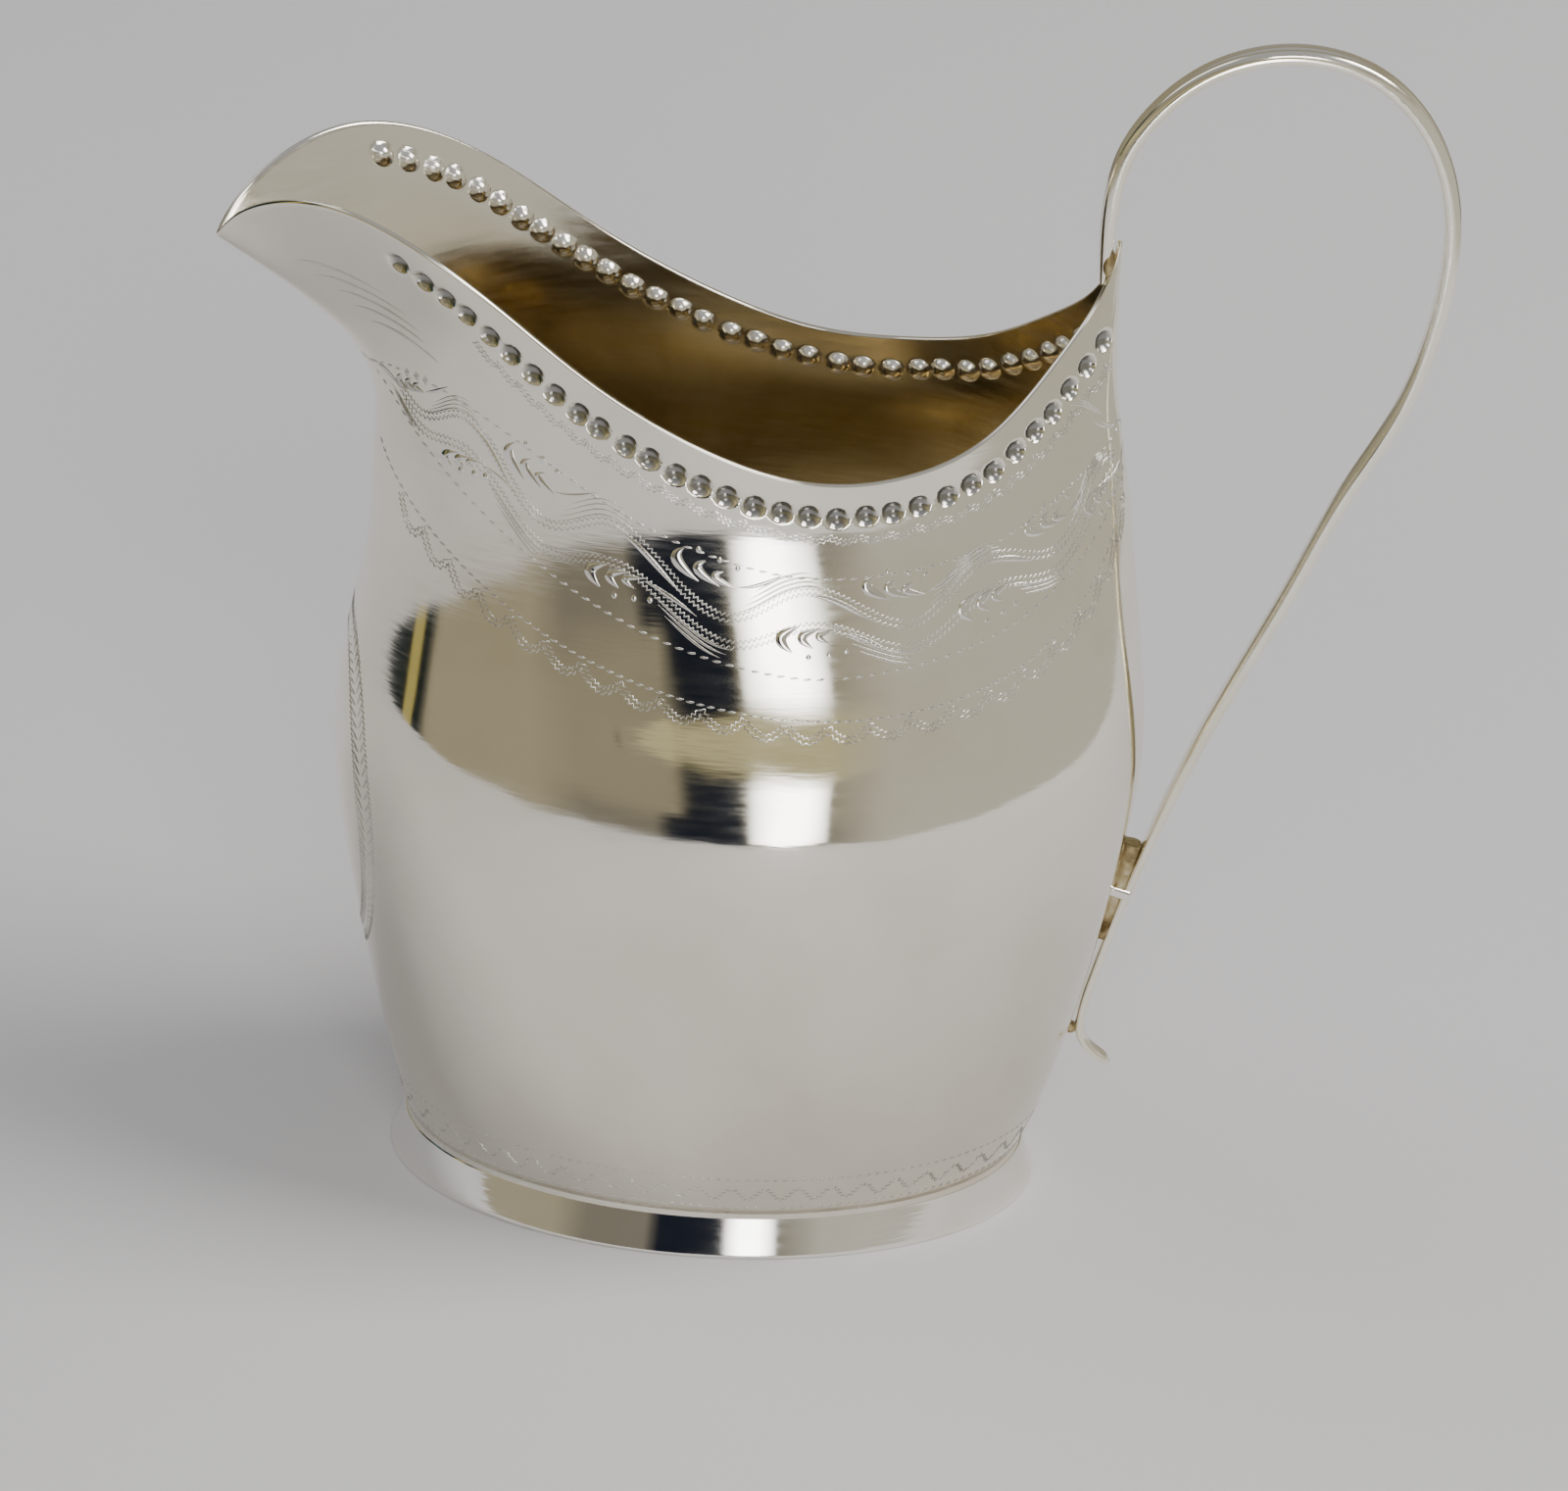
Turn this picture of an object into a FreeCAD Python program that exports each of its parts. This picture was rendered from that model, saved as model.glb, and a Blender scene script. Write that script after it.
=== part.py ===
# Oval cream jug in sheet silver, of the kind made about 1800: a raised oval body with a long
# pouring lip, a flat base plate, a low flared foot ring and a tall reeded loop handle that is
# soldered inside the back peak of the rim and stood off the belly on a small saddle.
#
# Frame: +Z up, the lip towards -X, the handle towards +X, mirror symmetry about Y = 0.
# The origin is the centre of the foot's underside. All sizes are millimetres.
import FreeCAD, Part
import math
import os

Vector = FreeCAD.Vector

# ---------------------------------------------------------------- driving dimensions
SHEET = 0.6              # thickness of the raised body
LIP_THINNING = 0.35      # share of that thickness hammered away at the lip's tip

FOOT_HALF_LENGTH = 32.8  # at the table
FOOT_HALF_WIDTH = 21.5
FOOT_HEIGHT = 4.2
FOOT_FLARE = 1.4         # how far the ring draws in from the table to its top
FOOT_HOLLOW = 0.15       # how far the flare bows in from straight
FOOT_WALL = 0.9
PLATE = 0.6              # thickness of the base plate
SEAT = FOOT_HEIGHT + PLATE

# The body in level rings: height of the ring at the jug's flank, reach to the front,
# reach to the back, and half width.
BODY = [
    (SEAT, 31.3, 31.3, 20.6),
    (10.0, 32.9, 33.2, 22.0),
    (20.0, 35.5, 35.9, 24.0),
    (30.0, 37.8, 37.9, 25.5),
    (40.0, 39.7, 39.6, 26.3),
    (48.0, 40.5, 40.4, 26.0),
    (55.0, 40.1, 40.2, 24.6),
    (62.0, 38.9, 39.2, 22.1),
    (69.0, 37.9, 38.0, 20.1),
    (76.0, 37.9, 36.6, 18.7),
    (82.8, 40.3, 34.7, 18.0),
    (89.7, 54.3, 33.3, 17.8),
]
TOP = BODY[-1][0]

# Height of the rim by the angle round the body: 0 at the lip's tip, 180 at the handle.
RIM = [
    (0, 100.9), (14, 103.8), (28, 107.6), (40, 109.1), (52, 107.3), (64, 102.4), (76, 95.8),
    (90, 89.7), (105, 86.1), (120, 86.4), (134, 89.1), (148, 94.2), (164, 99.1), (180, 101.1),
]
PEAK_RISE = 4.8          # the narrow point of the sheet that carries the handle
PEAK_SPREAD = 13.0       # degrees
PEAK_LEAN = 1.0          # how far the point leans out towards the handle
PEAK_LEAN_SPREAD = 20.0  # degrees

# Above the belly the rings lift towards the rim line, draw to a point at the lip and at the
# peak, and are widest a little forward of the middle.
LIFT_FROM, LIFT_POWER = 48.0, 2.3
LIP_POINT_FROM, LIP_POINT, LIP_SHARPNESS = 66.4, 0.64, 5.2
BACK_POINT_FROM, BACK_POINT, BACK_SHARPNESS = 54.1, 0.82, 5.4
FORWARD_SHIFT = 6.2
PEAK_FROM, PEAK_POWER = 80.0, 1.6

# The handle's middle line in the plane Y = 0 as (x, z), from the lap inside the peak, over
# the loop, and down to the curled tail.
HANDLE = [
    (32.6, 101.2), (32.75, 105.0), (32.95, 109.5), (33.9, 114.9), (36.5, 119.7), (41.2, 124.2),
    (49.6, 126.9), (57.8, 124.9), (63.8, 118.4), (66.4, 108.0), (65.4, 97.5), (62.9, 88.7),
    (58.5, 79.7), (53.8, 68.4), (49.0, 57.5), (44.8, 47.2), (41.6, 37.8), (39.1, 29.6),
    (37.4, 23.0), (36.45, 18.3), (36.6, 15.9), (38.0, 14.1), (39.7, 12.9),
]
# Width (along Y) and thickness by the share of the handle's length.
HANDLE_SECTION = [
    (0.00, 1.8, 0.60), (0.03, 2.2, 1.50), (0.08, 2.5, 1.85), (0.45, 2.6, 1.75),
    (0.75, 2.4, 1.45), (0.90, 2.1, 1.10), (1.00, 1.8, 1.00),
]
HANDLE_SQUARENESS = 0.72  # 1 is an ellipse, towards 0 is a rectangle

# The saddle that stands the handle off the belly, with the strap let into it: middle, tilt, size.
SADDLE_AT = (39.35, 33.1)
SADDLE_TILT = 16.0       # degrees from upright
SADDLE_SIZE = (2.3, 2.8, 1.1)

# Solder: fillet legs at the two plate seams, the drops at the handle's two ends, and the two
# runs that fill the gap between body and handle above and below the saddle.
FILLET = 0.8
PEAK_DROP_AT, PEAK_DROP_RADII = (33.0, 103.4), (0.75, 1.25, 1.6)
TAIL_DROP_AT, TAIL_DROP_RADII = (35.5, 16.7), (0.75, 0.8, 0.6)
UPPER_RUN = [(39.2, 33.2), (40.3, 38.5)]
LOWER_RUN = [(37.85, 27.6), (38.85, 32.9)]
RUN_RADIUS = 1.0


# ---------------------------------------------------------------- curves
def spline(knots):
    """Natural cubic through (x, y) pairs, as a function of x."""
    xs = [k[0] for k in knots]
    ys = [k[1] for k in knots]
    n = len(xs)
    step = [xs[i + 1] - xs[i] for i in range(n - 1)]
    slope = [(ys[i + 1] - ys[i]) / step[i] for i in range(n - 1)]
    # forward sweep of the tridiagonal system for the second derivatives
    diagonal, right = [1.0] * n, [0.0] * n
    for i in range(1, n - 1):
        ratio = step[i - 1] / diagonal[i - 1] if i > 1 else 0.0
        diagonal[i] = 2.0 * (step[i - 1] + step[i]) - ratio * step[i - 1]
        right[i] = 6.0 * (slope[i] - slope[i - 1]) - ratio * right[i - 1]
    bend = [0.0] * n
    for i in range(n - 2, 0, -1):
        bend[i] = (right[i] - step[i] * bend[i + 1]) / diagonal[i]

    def value(x):
        i = 0
        while i < n - 2 and x > xs[i + 1]:
            i += 1
        a, b, h = (xs[i + 1] - x), (x - xs[i]), step[i]
        curve = ((a / h) ** 3 - a / h) * bend[i] + ((b / h) ** 3 - b / h) * bend[i + 1]
        return (a * ys[i] + b * ys[i + 1]) / h + curve * h * h / 6.0

    return value


def ramp(height, start, power):
    """0 up to a height, then rising to 1 at the rim."""
    if height <= start:
        return 0.0
    return ((height - start) / (TOP - start)) ** power


front_reach = spline([(level[0], level[1]) for level in BODY])
back_reach = spline([(level[0], level[2]) for level in BODY])
half_width = spline([(level[0], level[3]) for level in BODY])
# the rim is mirrored past both ends, so that it runs level across the plane of symmetry
rim_line = spline([(-a, z) for a, z in RIM[3:0:-1]] + RIM + [(360 - a, z) for a, z in RIM[-2:-5:-1]])


def body_point(angle, height):
    """A point of the body's outer face, on its +Y side for angles from 0 to 180."""
    turn = math.radians(angle)
    front, back = -front_reach(height), back_reach(height)
    middle = -FORWARD_SHIFT * ramp(height, BACK_POINT_FROM, 2.0)
    mean, swing = (front + back) / 4.0, (front - back) / 2.0
    x = mean + middle / 2.0 + swing * math.cos(turn) + (mean - middle / 2.0) * math.cos(2.0 * turn)
    folded = abs(angle) if abs(angle) <= 180.0 else 360.0 - abs(angle)
    near_peak = 180.0 - folded
    x += PEAK_LEAN * math.exp(-((near_peak / PEAK_LEAN_SPREAD) ** 2)) * ramp(height, PEAK_FROM, PEAK_POWER)

    toward_lip, toward_back = max(math.cos(turn), 0.0), max(-math.cos(turn), 0.0)
    lip_point = LIP_POINT * ramp(height, LIP_POINT_FROM, 2.0) * toward_lip ** LIP_SHARPNESS
    back_point = BACK_POINT * ramp(height, BACK_POINT_FROM, 2.0) * toward_back ** BACK_SHARPNESS
    y = half_width(height) * math.sin(turn) * (1.0 - lip_point) * (1.0 - back_point)

    lift = ramp(height, LIFT_FROM, LIFT_POWER) * (rim_line(folded) - TOP)
    peak = PEAK_RISE * math.exp(-((near_peak / PEAK_SPREAD) ** 2))
    return Vector(x, y, height + lift + peak * ramp(height, PEAK_FROM, PEAK_POWER))


def body_inside_point(angle, height):
    """The matching point of the inner face, one sheet thickness in."""
    d_angle, d_height = 0.5, 0.05
    low, high = max(height - d_height, SEAT), min(height + d_height, TOP)
    around = body_point(angle + d_angle, height) - body_point(angle - d_angle, height)
    up = body_point(angle, high) - body_point(angle, low)
    outward = up.cross(around)
    # the wall's lower edge is filed flat to sit on the base plate
    outward.z *= min((height - SEAT) / 2.0, 1.0)
    outward.normalize()
    if outward.x * math.cos(math.radians(angle)) > 0.0 and abs(math.cos(math.radians(angle))) > 0.2:
        outward = outward * -1.0
    elif outward.y < 0.0 and abs(math.cos(math.radians(angle))) <= 0.2:
        outward = outward * -1.0
    lip = ramp(height, LIP_POINT_FROM, 2.0) * max(math.cos(math.radians(angle)), 0.0) ** 4
    outer = body_point(angle, height)
    point = outer - outward * (SHEET * (1.0 - LIP_THINNING * lip))
    # at the two drawn points the fold is tighter than the sheet is thick
    point.y = 0.0 if angle in (0.0, 180.0) else max(point.y, 0.35 * outer.y)
    return point


# ---------------------------------------------------------------- building helpers
def smooth_poles(values, ends):
    """Poles of the cubic B-spline through evenly spaced values.

    The ends are "even" or "odd" where the curve carries on as its own mirror image, and
    "free" where it simply stops.
    """
    n = len(values) - 1
    upper = {"even": 2.0, "odd": 0.0, "free": 0.0}[ends]
    corner = {"even": 4.0, "odd": 6.0, "free": 6.0}[ends]
    # forward sweep, then back substitution, of the rows (p[i-1] + 4 p[i] + p[i+1]) / 6 = value
    ratio, poles = [upper / corner], [6.0 * values[0] / corner]
    for i in range(1, n + 1):
        below = 1.0 if i < n else upper
        pivot = (4.0 if i < n else corner) - below * ratio[-1]
        ratio.append(1.0 / pivot)
        poles.append((6.0 * values[i] - below * poles[-1]) / pivot)
    for i in range(n - 1, -1, -1):
        poles[i] -= ratio[i] * poles[i + 1]
    first, last = (2.0 * poles[0] + poles[1]) / 3.0, (2.0 * poles[n] + poles[n - 1]) / 3.0
    return [values[0], first] + poles[1:n] + [last, values[n]]


def surface(rows):
    """Smooth skin through a grid; every row starts and ends square to the plane Y = 0."""
    along = []
    for row in rows:
        xs = smooth_poles([p.x for p in row], "even")
        ys = smooth_poles([p.y for p in row], "odd")
        zs = smooth_poles([p.z for p in row], "even")
        along.append([xs, ys, zs])
    columns = []
    for j in range(len(rows[0]) + 2):
        columns.append([smooth_poles([row[axis][j] for row in along], "free") for axis in range(3)])
    poles = [[Vector(c[0][i], c[1][i], c[2][i]) for c in columns] for i in range(len(rows) + 2)]
    skin = Part.BSplineSurface()
    counts = (len(rows), len(rows[0]))
    u_knots, v_knots = [[i / (n - 1.0) for i in range(n)] for n in counts]
    u_mults, v_mults = [[4] + [1] * (n - 2) + [4] for n in counts]
    skin.buildFromPolesMultsKnots(poles, u_mults, v_mults, u_knots, v_knots, False, False, 3, 3)
    return skin


def mirrored(rows):
    return [[Vector(p.x, -p.y, p.z) for p in row] for row in rows]


def closed_solid(faces):
    shell = Part.makeShell(faces)
    shell.sewShape()
    solid = Part.makeSolid(shell)
    if solid.Volume < 0:
        solid.reverse()
    return solid


def largest(shape):
    return max(shape.Solids, key=lambda solid: solid.Volume)


def oval(half_length, half_width, height):
    ellipse = Part.Ellipse(Vector(0, 0, height), half_length, half_width)
    return Part.Wire([ellipse.toShape()])


def oval_prism(half_length, half_width, bottom, top):
    face = Part.Face(oval(half_length, half_width, bottom))
    return face.extrude(Vector(0, 0, top - bottom))


def oval_loft(stations):
    return Part.makeLoft([oval(*station) for station in stations], True)


def drop(at, radii):
    """A solder drop: a ball squashed to three radii."""
    ball = Part.makeSphere(1.0)
    matrix = FreeCAD.Matrix()
    matrix.scale(*radii)
    matrix.move(Vector(at[0], 0, at[1]))
    return ball.transformGeometry(matrix)


# ---------------------------------------------------------------- pieces
def make_body():
    rows, columns = 40, 60
    heights = [SEAT + (TOP - SEAT) * (1.0 - (1.0 - i / rows) ** 1.35) for i in range(rows + 1)]
    angles = [180.0 * i / columns for i in range(columns + 1)]
    outer = [[body_point(a, h) for a in angles] for h in heights]
    inner = [[body_inside_point(a, h) for a in angles] for h in heights]
    for row in outer:
        row[0].y = row[-1].y = 0.0
    faces, outside_edge, inside_edge = [], [], []
    for side in (lambda grid: grid, mirrored):
        outside, inside = surface(side(outer)), surface(side(inner))
        faces += [outside.toShape(), inside.toShape()]
        outside_edge.append(outside.uIso(0.0).toShape())
        inside_edge.append(inside.uIso(0.0).toShape())
        faces.append(Part.makeRuledSurface(outside.uIso(1.0).toShape(), inside.uIso(1.0).toShape()))
    seat = Part.Face(Part.Wire(Part.sortEdges(outside_edge)[0]))
    faces.append(seat.cut(Part.Face(Part.Wire(Part.sortEdges(inside_edge)[0]))).Faces[0])
    return closed_solid(faces)


def make_base_plate():
    return oval_prism(BODY[0][1], BODY[0][3], FOOT_HEIGHT, SEAT)


def foot_draw(share):
    """How far the foot ring has drawn in at a share of its height: a slightly hollow flare."""
    return FOOT_FLARE * (share + FOOT_HOLLOW * share * (1.0 - share))


def foot_stations(inset):
    shares = (0.0, 0.12, 0.3, 0.5, 0.75, 1.0)
    return [
        (
            FOOT_HALF_LENGTH - foot_draw(s) - inset,
            FOOT_HALF_WIDTH - foot_draw(s) * 0.8 - inset,
            FOOT_HEIGHT * s,
        )
        for s in shares
    ]


def make_foot_ring():
    return oval_loft(foot_stations(0.0)).cut(oval_loft(foot_stations(FOOT_WALL)))


def make_foot_solder(foot_ring):
    top_length, top_width, _ = foot_stations(FOOT_WALL)[-1]
    ring = oval_prism(top_length + 0.3, top_width + 0.3, FOOT_HEIGHT - FILLET, FOOT_HEIGHT)
    hollow = oval_loft([
        (top_length - FILLET, top_width - FILLET, FOOT_HEIGHT),
        (top_length + 0.3, top_width + 0.3, FOOT_HEIGHT - FILLET),
    ])
    return largest(ring.cut(hollow).cut(foot_ring))


def make_base_solder(body):
    length, width = BODY[0][1] - SHEET, BODY[0][3] - SHEET
    ring = oval_prism(length + 0.3, width + 0.3, SEAT, SEAT + FILLET)
    hollow = oval_loft([
        (length - FILLET, width - FILLET, SEAT),
        (length + 0.5, width + 0.5, SEAT + FILLET),
    ])
    return largest(ring.cut(hollow).cut(body))


def handle_frame():
    """The handle's line by share of its length: position, and width and thickness there."""
    run = [0.0]
    for (x0, z0), (x1, z1) in zip(HANDLE, HANDLE[1:]):
        run.append(run[-1] + math.hypot(x1 - x0, z1 - z0))
    share = [r / run[-1] for r in run]
    line_x = spline([(s, p[0]) for s, p in zip(share, HANDLE)])
    line_z = spline([(s, p[1]) for s, p in zip(share, HANDLE)])
    width = spline([(s[0], s[1]) for s in HANDLE_SECTION])
    thickness = spline([(s[0], s[2]) for s in HANDLE_SECTION])
    return line_x, line_z, width, thickness


def make_handle():
    line_x, line_z, width, thickness = handle_frame()
    stations, around = 110, 16
    rows = []
    for i in range(stations + 1):
        s = i / stations
        ahead, behind = min(s + 0.001, 1.0), max(s - 0.001, 0.0)
        tangent = Vector(line_x(ahead) - line_x(behind), 0, line_z(ahead) - line_z(behind))
        tangent.normalize()
        outward = Vector(-tangent.z, 0, tangent.x)
        row = []
        for j in range(around + 1):
            c, n = math.cos(math.pi * j / around), math.sin(math.pi * j / around)
            across = n ** HANDLE_SQUARENESS if 0 < j < around else 0.0
            rise = math.copysign(abs(c) ** HANDLE_SQUARENESS, c)
            point = Vector(line_x(s), across * width(s) / 2.0, line_z(s))
            row.append(point + outward * (rise * thickness(s) / 2.0))
        rows.append(row)
    skins = [surface(rows), surface(mirrored(rows))]
    faces = [skin.toShape() for skin in skins]
    for end in (0.0, 1.0):
        faces.append(Part.Face(Part.Wire([skin.uIso(end).toShape() for skin in skins])))
    return closed_solid(faces)


def make_saddle(body, handle):
    size_x, size_y, size_z = SADDLE_SIZE
    block = Part.makeBox(size_x, size_y, size_z, Vector(-size_x / 2.0, -size_y / 2.0, -size_z / 2.0))
    block = block.makeFillet(0.35, block.Edges)
    block.rotate(Vector(0, 0, 0), Vector(0, 1, 0), SADDLE_TILT)
    block.translate(Vector(SADDLE_AT[0], 0, SADDLE_AT[1]))
    return largest(block.cut(body).cut(handle))


def make_drop(at, radii, body, handle):
    return largest(drop(at, radii).cut(body).cut(handle))


def make_run(ends, body, handle, saddle):
    (x, z), (end_x, end_z) = ends
    axis = Vector(end_x - x, 0, end_z - z)
    rod = Part.makeCylinder(RUN_RADIUS, axis.Length, Vector(x, 0, z), axis)
    return largest(rod.cut(body).cut(handle).cut(saddle))


def main():
    os.makedirs("parts", exist_ok=True)
    body = make_body()
    foot_ring = make_foot_ring()
    handle = largest(make_handle().cut(body))
    saddle = make_saddle(body, handle)
    pieces = {
        "body_shell": body,
        "base_plate": make_base_plate(),
        "foot_ring": foot_ring,
        "handle_strap": handle,
        "handle_saddle": saddle,
        "base_seam_solder": make_base_solder(body),
        "foot_seam_solder": make_foot_solder(foot_ring),
        "peak_solder": make_drop(PEAK_DROP_AT, PEAK_DROP_RADII, body, handle),
        "tail_solder": make_drop(TAIL_DROP_AT, TAIL_DROP_RADII, body, handle),
        "saddle_solder_upper": make_run(UPPER_RUN, body, handle, saddle),
        "saddle_solder_lower": make_run(LOWER_RUN, body, handle, saddle),
    }
    for name, shape in pieces.items():
        box = shape.BoundBox
        print(
            f"{name:18s} valid {shape.isValid()} solids {len(shape.Solids)} volume {shape.Volume:9.2f} mm3"
            f"  x {box.XMin:.1f}..{box.XMax:.1f} y {box.YMin:.1f}..{box.YMax:.1f} z {box.ZMin:.1f}..{box.ZMax:.1f}"
        )
        shape.exportStep(f"parts/{name}.step")


main()
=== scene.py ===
# Looks for the silver cream jug: the same body, foot and handle as the CAD model, with the bead
# row, the engraving, the reeding and the silver's finish added, on a plain pale floor.
# Sizes are millimetres in the CAD frame (+Z up, lip to -X, handle to +X) and are turned into
# metres where a mesh is made. Angles round the body run from 0 at the lip to 180 at the handle.
import math

import bpy
import numpy as np
from mathutils import Matrix, Vector


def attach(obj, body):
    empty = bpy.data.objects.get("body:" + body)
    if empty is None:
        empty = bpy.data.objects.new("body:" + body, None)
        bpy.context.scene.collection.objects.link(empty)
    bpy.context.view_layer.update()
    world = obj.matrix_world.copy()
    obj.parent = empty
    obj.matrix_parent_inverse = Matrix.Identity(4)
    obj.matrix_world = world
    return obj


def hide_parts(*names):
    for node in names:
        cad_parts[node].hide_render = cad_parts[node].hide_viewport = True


MM = 0.001
rng = np.random.default_rng(11)

# ---------------------------------------------------------------- dimensions
# As in the CAD, apart from the foot: its wall here is straight, not hollowed.
SHEET = 0.6
LIP_THINNING = 0.35
FOOT_HALF_LENGTH, FOOT_HALF_WIDTH, FOOT_HEIGHT = 32.8, 21.5, 4.2
FOOT_FLARE, FOOT_WALL = 1.4, 0.9
FOOT_SIDE_SHARE = 0.95   # how much of the end's inset the near and far sides are given
SEAT = 4.8
BODY = np.array([
    (SEAT, 31.3, 31.3, 20.6),
    (10.0, 32.9, 33.2, 22.0),
    (20.0, 35.5, 35.9, 24.0),
    (30.0, 37.8, 37.9, 25.5),
    (40.0, 39.7, 39.6, 26.3),
    (48.0, 40.5, 40.4, 26.0),
    (55.0, 40.1, 40.2, 24.6),
    (62.0, 38.9, 39.2, 22.1),
    (69.0, 37.9, 38.0, 20.1),
    (76.0, 37.9, 36.6, 18.7),
    (82.8, 40.3, 34.7, 18.0),
    (89.7, 54.3, 33.3, 17.8),
])
TOP = 89.7
RIM = [
    (0, 100.9), (14, 103.8), (28, 107.6), (40, 109.1), (52, 107.3), (64, 102.4), (76, 95.8),
    (90, 89.7), (105, 86.1), (120, 86.4), (134, 89.1), (148, 94.2), (164, 99.1), (180, 101.1),
]
PEAK_RISE, PEAK_SPREAD, PEAK_LEAN, PEAK_LEAN_SPREAD = 4.8, 13.0, 1.0, 20.0
PEAK_FROM, PEAK_POWER = 80.0, 1.6
MIDDLE_SHIFT = -6.2      # how far the widest place moves towards the lip, at the rim
NECK_FROM = 54.1         # the section starts to shift and to sharpen at the back
LIP_FROM = 66.4          # the section starts to sharpen into the lip
LIP_SHARPNESS, LIP_POWER = 0.64, 5.2
BACK_SHARPNESS, BACK_POWER = 0.82, 5.4
RIM_LIFT_FROM, RIM_LIFT_POWER = 48.0, 2.3
HANDLE = [
    (32.6, 101.2), (32.75, 105.0), (32.95, 109.5), (33.9, 114.9), (36.5, 119.7), (41.2, 124.2),
    (49.6, 126.9), (57.8, 124.9), (63.8, 118.4), (66.4, 108.0), (65.4, 97.5), (62.9, 88.7),
    (58.5, 79.7), (53.8, 68.4), (49.0, 57.5), (44.8, 47.2), (41.6, 37.8), (39.1, 29.6),
    (37.4, 23.0), (36.45, 18.3), (36.6, 15.9), (38.0, 14.1), (39.7, 12.9),
]
HANDLE_SECTION = [
    (0.00, 1.8, 0.60), (0.03, 2.2, 1.50), (0.08, 2.5, 1.85), (0.45, 2.6, 1.75),
    (0.75, 2.4, 1.45), (0.90, 2.1, 1.10), (1.00, 1.8, 1.00),
]

# ---------------------------------------------------------------- worked details
BEAD_DROP, BEAD_PITCH = 3.5, 2.82
DIMPLE_RADIUS, DIMPLE_DEPTH = 1.15, 0.75
DOME_RADIUS, DOME_HEIGHT = 1.10, 0.80
DIMPLE_ROUNDNESS = 0.72
BEADS_FROM, BEADS_TO = 41.0, 169.0
BEAD_WANDER, BEAD_DRIFT = 0.10, 0.08     # hand spacing, along and across the row
FILM_DROP, FILM_FADE, FILM_FADE_LIP, FILM_LIP_SPREAD = 1.2, 2.5, 14.0, 48.0
RIM_ROUNDING = 0.12
STRAP_SQUARENESS = 0.72  # 1 is an ellipse, less is squarer
REEDS, REED_DEPTH, STRAP_HOLLOW = 3, 0.07, 0.10
SEAT_BLEND = 2.0         # above the seat the inner face turns square to the wall over this height
LIP_CLOSING = 0.65       # most of its distance from the middle that the inner face may lose


# ---------------------------------------------------------------- curves and the body's form
def spline(knots):
    """Natural cubic through (x, y) pairs, as a function of an array."""
    xs, ys = np.array(knots, float).T
    step = np.diff(xs)
    n = len(xs)
    system, right = np.eye(n), np.zeros(n)
    for i in range(1, n - 1):
        system[i, i - 1: i + 2] = step[i - 1], 2.0 * (step[i - 1] + step[i]), step[i]
        right[i] = 6.0 * ((ys[i + 1] - ys[i]) / step[i] - (ys[i] - ys[i - 1]) / step[i - 1])
    bend = np.linalg.solve(system, right)

    def value(x):
        x = np.asarray(x, float)
        i = np.clip(np.searchsorted(xs, x) - 1, 0, n - 2)
        h, a, b = step[i], xs[i + 1] - x, x - xs[i]
        curve = ((a / h) ** 3 - a / h) * bend[i] + ((b / h) ** 3 - b / h) * bend[i + 1]
        return (a * ys[i] + b * ys[i + 1]) / h + curve * h * h / 6.0

    return value


def ramp(height, start, power):
    """0 up to a height, then rising to 1 at the rim."""
    return np.clip((height - start) / (TOP - start), 0.0, None) ** power


front_reach = spline(BODY[:, [0, 1]])
back_reach = spline(BODY[:, [0, 2]])
half_width = spline(BODY[:, [0, 3]])
rim_line = spline([(-a, z) for a, z in RIM[3:0:-1]] + RIM + [(360 - a, z) for a, z in RIM[-2:-5:-1]])


def body_point(angle, height):
    """Outer face of the body. Negative angles are the near side, -Y."""
    angle, height = np.broadcast_arrays(np.asarray(angle, float), np.asarray(height, float))
    turn = np.radians(angle)
    front, back = -front_reach(height), back_reach(height)
    middle = MIDDLE_SHIFT * ramp(height, NECK_FROM, 2.0)
    mean, swing = (front + back) / 4.0, (front - back) / 2.0
    x = mean + middle / 2.0 + swing * np.cos(turn) + (mean - middle / 2.0) * np.cos(2.0 * turn)
    folded = 180.0 - np.abs(180.0 - np.mod(np.abs(angle), 360.0))
    lean = PEAK_LEAN * np.exp(-(((180.0 - folded) / PEAK_LEAN_SPREAD) ** 2))
    x = x + lean * ramp(height, PEAK_FROM, PEAK_POWER)
    to_lip, to_back = np.clip(np.cos(turn), 0.0, None), np.clip(-np.cos(turn), 0.0, None)
    lip_point = LIP_SHARPNESS * ramp(height, LIP_FROM, 2.0) * to_lip ** LIP_POWER
    back_point = BACK_SHARPNESS * ramp(height, NECK_FROM, 2.0) * to_back ** BACK_POWER
    y = half_width(height) * np.sin(turn) * (1.0 - lip_point) * (1.0 - back_point)
    lift = ramp(height, RIM_LIFT_FROM, RIM_LIFT_POWER) * (rim_line(folded) - TOP)
    peak = PEAK_RISE * np.exp(-(((180.0 - folded) / PEAK_SPREAD) ** 2))
    z = height + lift + peak * ramp(height, PEAK_FROM, PEAK_POWER)
    return np.stack([x, y, z], -1)


def body_normal(angle, height):
    """Unit outward normal of the body."""
    angle, height = np.broadcast_arrays(np.asarray(angle, float), np.asarray(height, float))
    around = body_point(angle + 0.3, height) - body_point(angle - 0.3, height)
    low, high = np.maximum(height - 0.05, SEAT), np.minimum(height + 0.05, TOP)
    up = body_point(angle, high) - body_point(angle, low)
    normal = np.cross(up, around)
    return normal / np.linalg.norm(normal, axis=-1, keepdims=True)


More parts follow.
